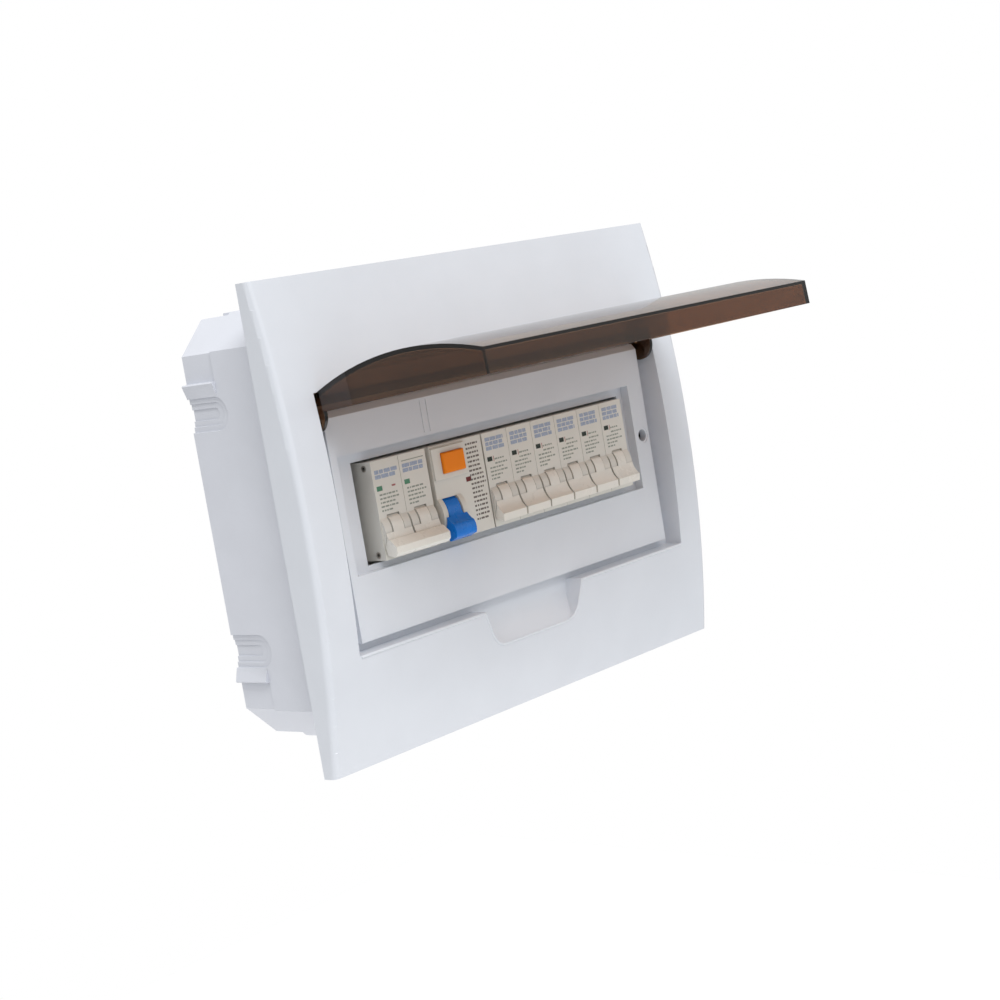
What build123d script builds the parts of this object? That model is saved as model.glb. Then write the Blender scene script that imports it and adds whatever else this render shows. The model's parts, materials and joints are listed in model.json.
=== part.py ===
from build123d import *

import math
import os

# Flush-mounted distribution board: a moulded back box set in the wall, an arched fascia in
# front of it, a smoked see-through door on two hinge studs, and a row of breakers on a rail.
#
# Frame: millimetres, +X right, +Z up, +Y into the wall. The origin is the centre of the back
# box's rear face. Heights called "h" are measured from that rear face towards the room, so a
# point at height h has y = -h. Section sketches are drawn in (h, z), front sketches in (x, z).

# ---------------------------------------------------------------- driving dimensions
BOX_WIDTH = 256.0
BOX_HEIGHT = 197.0
BOX_DEPTH = 60.0            # rear face to the wall surface
BOX_CORNER = 16.0           # 45 degree corners
BOX_WALL = 2.0
BOX_FLOOR = 2.2
RIM_REACH = 5.0             # rim standing out round the mouth of the back box
RIM_THICKNESS = 3.0

FASCIA_WIDTH = 280.0
FASCIA_HEIGHT = 219.0
FASCIA_EDGE = 7.3           # thickness at the top and bottom edges
FASCIA_CROWN = 17.6         # thickness at mid height
SHELL = 2.2                 # moulded wall of the fascia

RECESS_HALF_WIDTH = 120.0
RECESS_TOP = 58.0
RECESS_BOTTOM = -59.0
PANEL_H = 70.2              # front of the flat panel in the recess
PANEL_HALF_WIDTH = 113.0
PANEL_TOP = 45.4
PANEL_BOTTOM = -55.0
CHANNEL_H = 64.8            # floor of the channel round the panel, for the door's skirt

LEDGE_TOP = 50.0            # ledge sloping back from the panel's top edge
LEDGE_FALL = 3.4

SINK_LEFT = -108.7          # sunk frame round the window
SINK_RIGHT = 101.3
SINK_BOTTOM = -25.7
SINK_TOP = 28.0
SINK_H = 65.5
SINK_WALL = 1.8
WINDOW_HALF_WIDTH = 97.0
WINDOW_BOTTOM = -23.2
WINDOW_TOP = 23.6

SCOOP_HALF_WIDTH = 36.0     # finger scoop below the door's lip
SCOOP_BOTTOM = -77.2

HINGE_H = 67.5
HINGE_Z = 50.5
STUD_RADIUS = 2.0
STUD_PLAY = 0.05
DOOR_RADIUS = 158.0
DOOR_CROWN_H = 83.9         # crown of the shut door's outer face
DOOR_CROWN_Z = -11.3
DOOR_WALL = 2.0
DOOR_HALF_WIDTH = 118.5
DOOR_TOP_Z = 52.0           # hinge edge of the shut door
DOOR_LIP_Z = -58.3          # lower lip of the shut door
DOOR_BACK_H = 65.5          # back edge of the shut door's cheeks
DOOR_OPEN_ANGLE = 94.3
EAR_RADIUS = 8.5
EAR_H = HINGE_H - 2.6
EAR_Z = HINGE_Z - 1.6
HINGE_SLOT_BOTTOM = 38.2

MODULE = 18.0               # one pole of a rail-mounted device
DEVICE_WIDTH = 17.8
RAIL_FRONT_H = 10.6
SHOULDER_H = RAIL_FRONT_H + 44.0
NOSE_H = RAIL_FRONT_H + 60.0
NOSE_HALF = 22.5
BODY_HALF = 41.0
DEVICE_REAR_H = 5.6

MAIN_LEFT_X = -90.1         # left edge of the two-pole main breaker
RCD_LEFT_X = -51.6          # left edge of the residual-current device
SINGLES_LEFT_X = -14.9      # left edge of the first single-pole breaker
SINGLES_COUNT = 6

TOGGLE_H = 61.6             # axis of the toggles
TOGGLE_Z = -10.0
DRUM_RADIUS = 10.9
THUMB_RADIUS = 11.35        # raised thumb plate on the drum
THUMB_TOP_Z = -3.6
DRUM_POCKET_RADIUS = 11.7
BULGE_RADIUS = 11.0         # low round bulge of a pole's front beside its toggle
RCD_BULGE_RADIUS = 11.9
BULGE_PLAY = 0.25           # between a bulge and the paddle that passes over it
STEM_HALF = 3.5
STEM_SLOT_HALF = 4.1
PADDLE_HALF = 8.4
RCD_STEM_HALF = 4.5
RCD_SLOT_HALF = 5.2
RCD_PADDLE_HALF = 7.0
PIN_RADIUS = 1.5
PIN_PLAY = 0.05

RAIL_HALF_LENGTH = 102.8
RAIL_DEPTH = 7.5
RAIL_HALF_HEIGHT = 17.5
RAIL_BASE_HALF = 12.5
RAIL_GAUGE = 1.0

SCREW_RADIUS = 1.75         # 3.5 mm thread-forming screws
PILOT_RADIUS = 1.77
TONGUE_X = 124.7            # tongues of the fascia that enter the back box
TONGUE_Z = 33.0
COVER_SCREW_X = 107.7
COVER_SCREW_Z = 1.0
COVER_SCREW_SEAT_H = 64.0
RAIL_SCREW_X = 97.6
BAR_SCREW_X = 55.0
WALL_SCREW_X = 80.0
WALL_SCREW_Z = 56.0
WALL_SCREW_RADIUS = 2.75

BAR_Z = 74.0                # neutral bar above the breakers, earth bar below
BAR_SEAT_H = 18.0
BAR_SIZE = 7.0
BAR_TERMINALS = 10
BAR_PITCH = 9.0

KNOCKOUT_Z = 54.8           # U-shaped knock-outs in the side walls
RIDGE_INNER_Z = 62.5
RIDGE_OUTER_Z = 69.2
CORNER_STEP_H = 21.0
ROUND_KNOCKOUTS_X = (-75.0, -25.0, 25.0, 75.0)

TERMINAL_Z = 35.0
RIVET_RADIUS = 1.5

DOOR_CENTRE_H = DOOR_CROWN_H - DOOR_RADIUS
RCD_X = RCD_LEFT_X + MODULE
RCD_TOGGLE_X = RCD_LEFT_X + 8.3
RCD_BULGE_HALF = 8.2
BUTTON_X = RCD_LEFT_X + 13.4
BUTTON_Z = 13.7
BUTTON_WIDTH = 14.7
BUTTON_HEIGHT = 9.7
BUTTON_H = 73.2


# ---------------------------------------------------------------- planes and placing
def front_plane(h):
    """Plane parallel to the wall at height h: x across, z up, facing the room."""
    return Plane.XZ.offset(h)


def side_plane(x):
    """Section plane at x: h across, z up, facing -X."""
    return Plane(origin=(x, 0, 0), x_dir=(0, -1, 0), z_dir=(-1, 0, 0))


def level_plane(z):
    """Level plane at z, facing up: x across, y into the wall."""
    return Plane.XY.offset(z)


def bounds_rectangle(left, right, bottom, top, mode=Mode.ADD):
    """Rectangle between four edges, in the current sketch."""
    with Locations(((left + right) / 2, (bottom + top) / 2)):
        Rectangle(right - left, top - bottom, mode=mode)


def outline(*points, mode=Mode.ADD):
    """Face bounded by straight lines through the points, in the current sketch."""
    with BuildLine() as border:
        Polyline(*points, close=True)
    make_face(border.edges(), mode=mode)


def keep(builder, name):
    """Label a finished piece and write it to its own file."""
    builder.part.label = name
    export_step(builder.part, f"parts/{name}.step")


def main_poles():
    """Name and centre x of the main breaker's two poles."""
    first = MAIN_LEFT_X + MODULE / 2
    return [("main_breaker_left", first), ("main_breaker_right", first + MODULE)]


def singles():
    """Name and centre x of each single-pole breaker."""
    first = SINGLES_LEFT_X + MODULE / 2
    return [(f"breaker_{n + 1}", first + n * MODULE) for n in range(SINGLES_COUNT)]


def pole_centres():
    """Centre x of every pole that has a terminal above and below."""
    rcd = [RCD_X - MODULE / 2, RCD_X + MODULE / 2]
    return [x for _, x in main_poles()] + rcd + [x for _, x in singles()]


os.makedirs("parts", exist_ok=True)


# ---------------------------------------------------------------- back box
def box_outline(inset, mode=Mode.ADD):
    """Outline with cut corners, inset from the box's outer walls, in the current sketch."""
    x = BOX_WIDTH / 2 - inset
    z = BOX_HEIGHT / 2 - inset
    cut = BOX_CORNER - inset * (2 - math.sqrt(2))
    outline(
        (-x + cut, -z),
        (x - cut, -z),
        (x, -z + cut),
        (x, z - cut),
        (x - cut, z),
        (-x + cut, z),
        (-x, z - cut),
        (-x, -z + cut),
        mode=mode,
    )


def knockout_outline(z, half_width, reach):
    """U-shaped outline open to the rear edge, in (h, z), in the current sketch."""
    bounds_rectangle(0, reach - half_width, z - half_width, z + half_width)
    with Locations((reach - half_width, z)):
        Circle(half_width)


def side_knockout(side, end):
    """Backing pad, stepped pocket and outer ridge of one U-shaped side knock-out."""
    z = end * KNOCKOUT_Z
    wall_x = side * BOX_WIDTH / 2
    with BuildSketch(side_plane(side * (BOX_WIDTH / 2 - BOX_WALL + 0.1))) as face:
        knockout_outline(z, 9.5, 27.5)
    extrude(face.sketch, amount=side * 1.9)
    steps = [(7.7, 26.0, 1.1), (5.2, 22.5, 1.8), (2.6, 18.5, 2.5)]
    for half_width, reach, depth in steps:
        with BuildSketch(side_plane(wall_x)) as face:
            knockout_outline(z, half_width, reach)
        extrude(face.sketch, amount=side * depth, mode=Mode.SUBTRACT)
    with BuildSketch(front_plane(0)) as face:
        outline(
            (side * (BOX_WIDTH / 2 - 1.0), end * RIDGE_INNER_Z),
            (side * BOX_WIDTH / 2, end * RIDGE_INNER_Z),
            (side * (BOX_WIDTH / 2 + 2.0), end * (RIDGE_OUTER_Z - 0.6)),
            (side * (BOX_WIDTH / 2 + 1.6), end * RIDGE_OUTER_Z),
            (side * (BOX_WIDTH / 2 - 1.0), end * RIDGE_OUTER_Z),
        )
    extrude(face.sketch, amount=CORNER_STEP_H)


def round_knockouts(end):
    """Pairs of scored rings in the top (end 1) or bottom (end -1) wall."""
    with BuildSketch(level_plane(end * BOX_HEIGHT / 2)) as face:
        with Locations(*[(x, -31.0) for x in ROUND_KNOCKOUTS_X]):
            Circle(11.5)
            Circle(10.7, mode=Mode.SUBTRACT)
            Circle(8.3)
            Circle(7.5, mode=Mode.SUBTRACT)
    extrude(face.sketch, amount=-end * 1.2, mode=Mode.SUBTRACT)


BAR_BOSSES = [
    (-BAR_SCREW_X, BAR_Z),
    (BAR_SCREW_X, BAR_Z),
    (-BAR_SCREW_X, -BAR_Z),
    (BAR_SCREW_X, -BAR_Z),
]
RAIL_PADS = [(-RAIL_SCREW_X, 0), (RAIL_SCREW_X, 0)]

with BuildPart() as back_box:
    with BuildSketch(front_plane(0)):
        box_outline(0)
    extrude(amount=BOX_DEPTH)
    with BuildSketch(front_plane(BOX_DEPTH - RIM_THICKNESS)):
        box_outline(-RIM_REACH)
    extrude(amount=RIM_THICKNESS)
    with BuildSketch(front_plane(BOX_FLOOR)):
        box_outline(BOX_WALL)
    extrude(amount=BOX_DEPTH, mode=Mode.SUBTRACT)
    # shallow rebates round the four rear corners
    with BuildSketch(front_plane(0)):
        box_outline(-1)
        box_outline(1.2, mode=Mode.SUBTRACT)
        Rectangle(3 * BOX_WIDTH, 2 * RIDGE_OUTER_Z, mode=Mode.SUBTRACT)
        Rectangle(2 * 98.0, 3 * BOX_HEIGHT, mode=Mode.SUBTRACT)
    extrude(amount=CORNER_STEP_H, mode=Mode.SUBTRACT)
    for end in (-1, 1):
        side_knockout(-1, end)
        side_knockout(1, end)
        round_knockouts(end)
    # pillar for the fascia's screw with its web, rail pads and bosses for the bars
    with BuildSketch(front_plane(BOX_FLOOR - 0.5)):
        with Locations((COVER_SCREW_X, COVER_SCREW_Z)):
            Circle(4.6)
    extrude(amount=BOX_DEPTH - BOX_FLOOR + 0.5)
    with BuildSketch(front_plane(BOX_FLOOR - 0.5)):
        bounds_rectangle(COVER_SCREW_X + 3, BOX_WIDTH / 2 - 1, 0, 2)
    extrude(amount=44.0)
    with BuildSketch(front_plane(BOX_FLOOR - 0.5)):
        with Locations(*RAIL_PADS):
            Circle(5.0)
    extrude(amount=RAIL_FRONT_H - RAIL_DEPTH - BOX_FLOOR + 0.5)
    with BuildSketch(front_plane(BOX_FLOOR - 0.5)):
        with Locations(*BAR_BOSSES):
            Circle(4.8)
    extrude(amount=6.3)
    # blind pilot holes, and the four holes for wall screws
    with BuildSketch(front_plane(BOX_DEPTH - 22.0)):
        with Locations((COVER_SCREW_X, COVER_SCREW_Z)):
            Circle(PILOT_RADIUS)
    extrude(amount=23.0, mode=Mode.SUBTRACT)
    with BuildSketch(front_plane(0.6)):
        with Locations(*RAIL_PADS, *BAR_BOSSES):
            Circle(PILOT_RADIUS)
    extrude(amount=9.0, mode=Mode.SUBTRACT)
    with BuildSketch(front_plane(-1)):
        with GridLocations(2 * WALL_SCREW_X, 2 * WALL_SCREW_Z, 2, 2):
            Circle(WALL_SCREW_RADIUS)
    extrude(amount=BOX_FLOOR + 2, mode=Mode.SUBTRACT)
keep(back_box, "back_box")


# ---------------------------------------------------------------- fascia
def arched_section(inset):
    """Closed section of the arched fascia in (h, z), inset from its outer face."""
    rear = BOX_DEPTH - (1.0 if inset else 0.0)
    edge = BOX_DEPTH + FASCIA_EDGE - inset
    crown = BOX_DEPTH + FASCIA_CROWN - inset
    half = FASCIA_HEIGHT / 2 - inset
    with BuildLine() as border:
        ThreePointArc((edge, -half), (crown, 0), (edge, half))
        Polyline((edge, half), (rear, half), (rear, -half), (edge, -half))
    make_face(border.edges())


def scoop_block(grow):
    """Solid in front of the scoop's dished floor, grown on every side by the given amount."""
    with BuildPart() as block:
        with BuildSketch(side_plane(0)):
            with BuildLine():
                ThreePointArc(
                    (CHANNEL_H - grow, RECESS_BOTTOM + 1.0),
                    (CHANNEL_H + 1.9 - grow, -70.0 - grow / 2),
                    (CHANNEL_H + 7.6 - grow / 2, SCOOP_BOTTOM - grow),
                )
                Polyline(
                    (CHANNEL_H + 7.6 - grow / 2, SCOOP_BOTTOM - grow),
                    (CHANNEL_H + 20, SCOOP_BOTTOM - grow),
                    (CHANNEL_H + 20, RECESS_BOTTOM + 1.0),
                    (CHANNEL_H - grow, RECESS_BOTTOM + 1.0),
                )
            make_face()
        extrude(amount=SCOOP_HALF_WIDTH + grow, both=True)
        with BuildSketch(front_plane(BOX_DEPTH - 5)) as face:
            outline(
                (-SCOOP_HALF_WIDTH - grow, RECESS_BOTTOM + 1.0),
                (-SCOOP_HALF_WIDTH + 6 - grow, SCOOP_BOTTOM - grow),
                (SCOOP_HALF_WIDTH - 6 + grow, SCOOP_BOTTOM - grow),
                (SCOOP_HALF_WIDTH + grow, RECESS_BOTTOM + 1.0),
            )
            fillet(face.vertices().group_by(Axis.Y)[0], 11.0 + grow)
        extrude(amount=40, mode=Mode.INTERSECT)
    return block.part


def sink_rectangle(grow):
    """Outline of the sunk frame round the window, grown on every side, in the current sketch."""
    bounds_rectangle(
        SINK_LEFT - grow, SINK_RIGHT + grow, SINK_BOTTOM - grow, SINK_TOP + grow
    )


with BuildPart() as arched_block:
    with BuildSketch(side_plane(0)):
        arched_section(0)
    extrude(amount=FASCIA_WIDTH / 2, both=True)
    end_faces = arched_block.faces().filter_by(Axis.X)
    fillet(end_faces.edges().filter_by(GeomType.CIRCLE), 3.2)

with BuildPart() as recess_tub:
    with BuildSketch(front_plane(CHANNEL_H - SHELL)):
        bounds_rectangle(
            -RECESS_HALF_WIDTH - SHELL,
            RECESS_HALF_WIDTH + SHELL,
            RECESS_BOTTOM - SHELL,
            RECESS_TOP + SHELL,
        )
    extrude(amount=30)
    with BuildSketch(front_plane(CHANNEL_H - SHELL)):
        bounds_rectangle(
            SHELL - PANEL_HALF_WIDTH,
            PANEL_HALF_WIDTH - SHELL,
            PANEL_BOTTOM + SHELL,
            PANEL_TOP - SHELL,
        )
    extrude(amount=PANEL_H - CHANNEL_H, mode=Mode.SUBTRACT)
    with BuildSketch(front_plane(SINK_H - SINK_WALL)):
        sink_rectangle(SINK_WALL)
    extrude(amount=PANEL_H - SINK_H + SINK_WALL)
    with BuildSketch(front_plane(BOX_DEPTH)):
        with Locations((COVER_SCREW_X, COVER_SCREW_Z)):
            Circle(5.0)
    extrude(amount=PANEL_H - BOX_DEPTH)

with BuildPart() as fascia:
    add(arched_block.part)
    with BuildSketch(side_plane(0)):
        arched_section(SHELL)
    extrude(amount=FASCIA_WIDTH / 2 - SHELL, both=True, mode=Mode.SUBTRACT)
    add(recess_tub.part & arched_block.part)
    add(scoop_block(SHELL) & arched_block.part)
    # tongues that enter the mouth of the back box
    with BuildSketch(front_plane(BOX_DEPTH - 6)):
        with GridLocations(2 * TONGUE_X, 2 * TONGUE_Z, 2, 2):
            Rectangle(1.8, 14.0)
    extrude(amount=21.0)
    # recess above the panel, and the deeper channel round it
    with BuildSketch(front_plane(PANEL_H)):
        bounds_rectangle(-RECESS_HALF_WIDTH, RECESS_HALF_WIDTH, RECESS_BOTTOM, RECESS_TOP)
    extrude(amount=20, mode=Mode.SUBTRACT)
    with BuildSketch(front_plane(CHANNEL_H)):
        bounds_rectangle(-RECESS_HALF_WIDTH, RECESS_HALF_WIDTH, RECESS_BOTTOM, RECESS_TOP)
        bounds_rectangle(
            -PANEL_HALF_WIDTH, PANEL_HALF_WIDTH, PANEL_BOTTOM, PANEL_TOP, mode=Mode.SUBTRACT
        )
    extrude(amount=20, mode=Mode.SUBTRACT)
    add(scoop_block(0), mode=Mode.SUBTRACT)
    # sloping ledge that closes the channel above the panel
    with BuildSketch(side_plane(0)):
        outline(
            (CHANNEL_H - 0.5, PANEL_TOP - 0.4),
            (PANEL_H, PANEL_TOP - 0.4),
            (PANEL_H, PANEL_TOP + 0.2),
            (PANEL_H - LEDGE_FALL, LEDGE_TOP),
            (CHANNEL_H - 0.5, LEDGE_TOP),
        )
    extrude(amount=PANEL_HALF_WIDTH, both=True)
    # sunk frame round the window, spot face at the screw, and two mould witness lines
    with BuildSketch(front_plane(SINK_H)):
        sink_rectangle(0)
    extrude(amount=20, mode=Mode.SUBTRACT)
    with BuildSketch(front_plane(PANEL_H - 0.3)):
        with Locations((COVER_SCREW_X, COVER_SCREW_Z)):
            Circle(4.2)
        with Locations((-52.0, 37.0), (-48.0, 37.0)):
            Rectangle(0.8, 15.0)
    extrude(amount=2, mode=Mode.SUBTRACT)
    # window, hinge slots, stud holes and the stepped screw hole
    with BuildSketch(front_plane(BOX_DEPTH)):
        bounds_rectangle(-WINDOW_HALF_WIDTH, WINDOW_HALF_WIDTH, WINDOW_BOTTOM, WINDOW_TOP)
        for side in (-1, 1):
            inner = side * PANEL_HALF_WIDTH
            outer = side * RECESS_HALF_WIDTH
            bounds_rectangle(min(inner, outer), max(inner, outer), HINGE_SLOT_BOTTOM, RECESS_TOP)
    extrude(amount=20, mode=Mode.SUBTRACT)
    with BuildSketch(side_plane(0)):
        with Locations((HINGE_H, HINGE_Z)):
            Circle(STUD_RADIUS + STUD_PLAY)
    extrude(amount=RECESS_HALF_WIDTH + SHELL + 0.5, both=True, mode=Mode.SUBTRACT)
    with BuildSketch(front_plane(BOX_DEPTH - 1)):
        with Locations((COVER_SCREW_X, COVER_SCREW_Z)):
            Circle(1.95)
    extrude(amount=20, mode=Mode.SUBTRACT)
    with BuildSketch(front_plane(COVER_SCREW_SEAT_H)):
        with Locations((COVER_SCREW_X, COVER_SCREW_Z)):
            Circle(3.1)
    extrude(amount=20, mode=Mode.SUBTRACT)
keep(fascia, "fascia")


# ---------------------------------------------------------------- door
def door_section(radius, bottom, top, back):
    """Section in (h, z) between a flat back and an arc about the door's centre of curvature."""
    def reach(z):
        return DOOR_CENTRE_H + math.sqrt(radius**2 - (z - DOOR_CROWN_Z) ** 2)

    lower = (reach(bottom), bottom)
    upper = (reach(top), top)
    with BuildLine() as border:
        ThreePointArc(lower, (DOOR_CENTRE_H + radius, DOOR_CROWN_Z), upper)
        Polyline(upper, (back, top), (back, bottom), lower)
    make_face(border.edges())


with BuildPart() as shut_door:
    with BuildSketch(side_plane(0)):
        door_section(DOOR_RADIUS, DOOR_LIP_Z, DOOR_TOP_Z, DOOR_BACK_H)
    extrude(amount=DOOR_HALF_WIDTH, both=True)
    # ears round the hinge axis, kept behind the door's outer face
    with BuildSketch(side_plane(0)):
        with Locations((EAR_H, EAR_Z)):
            Circle(EAR_RADIUS)
        with Locations((DOOR_CENTRE_H, DOOR_CROWN_Z)):
            Circle(DOOR_RADIUS, mode=Mode.INTERSECT)
    extrude(amount=DOOR_HALF_WIDTH, both=True)
    with BuildSketch(side_plane(0)):
        door_section(
            DOOR_RADIUS - DOOR_WALL, DOOR_LIP_Z + DOOR_WALL, DOOR_TOP_Z + 8, DOOR_BACK_H - 20
        )
        bounds_rectangle(DOOR_BACK_H - 20, DOOR_CROWN_H, DOOR_TOP_Z, DOOR_TOP_Z + 8)
    extrude(amount=DOOR_HALF_WIDTH - DOOR_WALL, both=True, mode=Mode.SUBTRACT)
    for side in (-1, 1):
        with BuildSketch(side_plane(side * (DOOR_HALF_WIDTH - DOOR_WALL))):
            with Locations((HINGE_H, HINGE_Z)):
                Circle(STUD_RADIUS)
        extrude(amount=-side * (DOOR_WALL + 3.2))

with BuildPart() as door:
    hinge_axis = Axis((0, -HINGE_H, HINGE_Z), (-1, 0, 0))
    add(shut_door.part.rotate(hinge_axis, DOOR_OPEN_ANGLE))
keep(door, "door")


# ---------------------------------------------------------------- screws
def pan_screw(x, z, seat, length, head_radius, head_height, shank_radius):
    """Pan-head screw seated at height seat, pointing into the wall, with a cross recess."""
    with BuildSketch(front_plane(seat - length)) as face:
        with Locations((x, z)):
            Circle(shank_radius)
    extrude(face.sketch, amount=length + head_height / 2)
    with BuildSketch(front_plane(seat)) as face:
        with Locations((x, z)):
            Circle(head_radius)
    extrude(face.sketch, amount=head_height)
    with BuildSketch(front_plane(seat + head_height / 2)) as face:
        with Locations((x, z)):
            Rectangle(head_radius * 1.3, 0.7)
            Rectangle(0.7, head_radius * 1.3)
    extrude(face.sketch, amount=head_height, mode=Mode.SUBTRACT)


with BuildPart() as fascia_screw:
    pan_screw(COVER_SCREW_X, COVER_SCREW_Z, COVER_SCREW_SEAT_H, 24.0, 2.9, 2.2, SCREW_RADIUS)
keep(fascia_screw, "fascia_screw")

with BuildPart() as rail_screws:
    for x, z in RAIL_PADS:
        pan_screw(x, z, RAIL_FRONT_H - RAIL_DEPTH + RAIL_GAUGE, 3.3, 3.4, 2.2, SCREW_RADIUS)
keep(rail_screws, "rail_screws")

with BuildPart() as bar_holder_screws:
    for x, z in BAR_BOSSES:
        pan_screw(x, z, 11.0, 9.6, 3.2, 2.2, SCREW_RADIUS)
keep(bar_holder_screws, "bar_holder_screws")


# ---------------------------------------------------------------- mounting rail
with BuildPart() as din_rail:
    base = RAIL_FRONT_H - RAIL_DEPTH
    with BuildSketch(side_plane(0)):
        bounds_rectangle(base, base + RAIL_GAUGE, -RAIL_BASE_HALF, RAIL_BASE_HALF)
        for end in (-1, 1):
            web = sorted((end * RAIL_BASE_HALF, end * (RAIL_BASE_HALF + RAIL_GAUGE)))
            lip = sorted((end * RAIL_BASE_HALF, end * RAIL_HALF_HEIGHT))
            bounds_rectangle(base, RAIL_FRONT_H, *web)
            bounds_rectangle(RAIL_FRONT_H - RAIL_GAUGE, RAIL_FRONT_H, *lip)
    extrude(amount=RAIL_HALF_LENGTH, both=True)
    with BuildSketch(front_plane(base - 1)):
        with GridLocations(25.0, 1.0, 7, 1):
            SlotOverall(15.0, 5.2)
        with Locations(*RAIL_PADS):
            Circle(2.1)
    extrude(amount=4, mode=Mode.SUBTRACT)
keep(din_rail, "din_rail")


# ---------------------------------------------------------------- neutral and earth bars
def bar_places():
    """Centre x of each terminal along a bar."""
    first = -BAR_PITCH * (BAR_TERMINALS - 1) / 2
    return [first + n * BAR_PITCH for n in range(BAR_TERMINALS)]


def make_bar_holder(name, z):
    """Moulded holder: two screwed feet and a beam with lips that grip the bar."""
    half = BAR_SIZE / 2 + 0.05
    with BuildPart() as holder:
        with BuildSketch(front_plane(8.0)):
            with Locations((0, z)):
                Rectangle(2 * BAR_SCREW_X + 11, 11.0)
        extrude(amount=3.0)
        with BuildSketch(front_plane(10.5)):
            with Locations((0, z)):
                Rectangle(97.0, 2 * half + 3.0)
        extrude(amount=BAR_SEAT_H + 2.5 - 10.5)
        with BuildSketch(front_plane(BAR_SEAT_H)):
            with Locations((0, z)):
                Rectangle(94.0, 2 * half)
        extrude(amount=4, mode=Mode.SUBTRACT)
        with BuildSketch(front_plane(11.0)):
            with Locations((0, z)):
                with GridLocations(18.0, 1.0, 5, 1):
                    Rectangle(12.0, 5.5)
        extrude(amount=BAR_SEAT_H - 12.5, mode=Mode.SUBTRACT)
        with BuildSketch(front_plane(7.0)):
            with Locations((-BAR_SCREW_X, z), (BAR_SCREW_X, z)):
                Circle(1.95)
        extrude(amount=5.0, mode=Mode.SUBTRACT)
    keep(holder, name)


def make_bar(name, z):
    """Brass bar with a wire hole and a screw hole at each terminal."""
    wire_h = BAR_SEAT_H + 3.2
    with BuildPart() as bar:
        with BuildSketch(front_plane(BAR_SEAT_H)):
            with Locations((0, z)):
                Rectangle(93.8, BAR_SIZE)
        extrude(amount=BAR_SIZE)
        with BuildSketch(level_plane(z)):
            with Locations(*[(x, -wire_h) for x in bar_places()]):
                Circle(2.3)
        extrude(amount=BAR_SIZE, both=True, mode=Mode.SUBTRACT)
        with BuildSketch(front_plane(wire_h)):
            with Locations(*[(x, z) for x in bar_places()]):
                Circle(1.92)
        extrude(amount=BAR_SIZE, mode=Mode.SUBTRACT)
    keep(bar, name)


def make_bar_screws(name, z):
    """Row of clamp screws standing half out of a bar."""
    with BuildPart() as screws:
        for x in bar_places():
            pan_screw(x, z, BAR_SEAT_H + BAR_SIZE, 1.4, 2.9, 2.0, 1.9)
    keep(screws, name)


for circuit, bar_z in (("neutral", BAR_Z), ("earth", -BAR_Z)):
    make_bar_holder(f"{circuit}_bar_holder", bar_z)
    make_bar(f"{circuit}_bar", bar_z)
    make_bar_screws(f"{circuit}_bar_screws", bar_z)


# ---------------------------------------------------------------- breaker housings
CLIP_HALF_WIDTH = 5.0
CLIP_WING_HALF_WIDTH = 6.0
CLIP_TOP_Z = -16.3          # tip behind the rail's lower lip
CLIP_BOTTOM_Z = -44.5
FLAG_SIZE = (3.6, 2.2)
RIVETS = [(14.0, 35.0), (14.0, -35.0), (28.0, 24.0), (28.0, -24.0)]
UPPER_NOSE_RIVET = (66.0, 19.6)
EYELET = (66.0, -20.0)      # short eyelet in each side, beside the toggle's pocket
EYELET_DEPTH = 2.2
CONTACT_FLAG_Z = 9.75
RCD_FLAG_X = RCD_LEFT_X + 23.5
RCD_FLAG_Z = 3.3


def device_section():
    """Stepped side view of a rail-mounted device, with its channel for the rail."""
    outline(
        (DEVICE_REAR_H, -30.0),
        (DEVICE_REAR_H + 6, -BODY_HALF),
        (SHOULDER_H, -BODY_HALF),
        (SHOULDER_H, -NOSE_HALF),
        (NOSE_H, -NOSE_HALF),
        (NOSE_H, NOSE_HALF),
        (SHOULDER_H, NOSE_HALF),
        (SHOULDER_H, BODY_HALF),
        (DEVICE_REAR_H + 6, BODY_HALF),
        (DEVICE_REAR_H, 30.0),
    )
    slot = RAIL_HALF_HEIGHT + 0.1
    lip = RAIL_FRONT_H - RAIL_GAUGE - 0.1
    bounds_rectangle(lip, RAIL_FRONT_H, -slot, slot, mode=Mode.SUBTRACT)
    bounds_rectangle(0, lip, -slot, RAIL_HALF_HEIGHT - 1.3, mode=Mode.SUBTRACT)


def cut_terminals(x):
    """Wire entry and screw hole above and below one pole."""
    with BuildSketch(front_plane(33.0)) as face:
        for end in (-1, 1):
            edges = sorted((end * 29.0, end * (BODY_HALF + 1)))
            bounds_rectangle(x - 5.0, x + 5.0, *edges)
    extrude(face.sketch, amount=12.0, mode=Mode.SUBTRACT)
    with BuildSketch(front_plane(44.0)) as face:
        with Locations((x, -TERMINAL_Z), (x, TERMINAL_Z)):
            Circle(2.9)
    extrude(face.sketch, amount=20.0, mode=Mode.SUBTRACT)


def cut_toggle_pocket(x, half_width):
    """Round pocket for a toggle's drum, open to the front, with blind holes for its pins."""
    with BuildSketch(side_plane(x)) as face:
        with Locations((TOGGLE_H, TOGGLE_Z)):
            Circle(DRUM_POCKET_RADIUS)
        bounds_rectangle(NOSE_H - 0.7, NOSE_H + 5, TOGGLE_Z - 7.6, TOGGLE_Z + 7.6)
    extrude(face.sketch, amount=half_width, both=True, mode=Mode.SUBTRACT)
    with BuildSketch(side_plane(x)) as face:
        with Locations((TOGGLE_H, TOGGLE_Z)):
            Circle(PIN_RADIUS + PIN_PLAY)
    extrude(face.sketch, amount=half_width + 1.6, both=True, mode=Mode.SUBTRACT)


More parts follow.
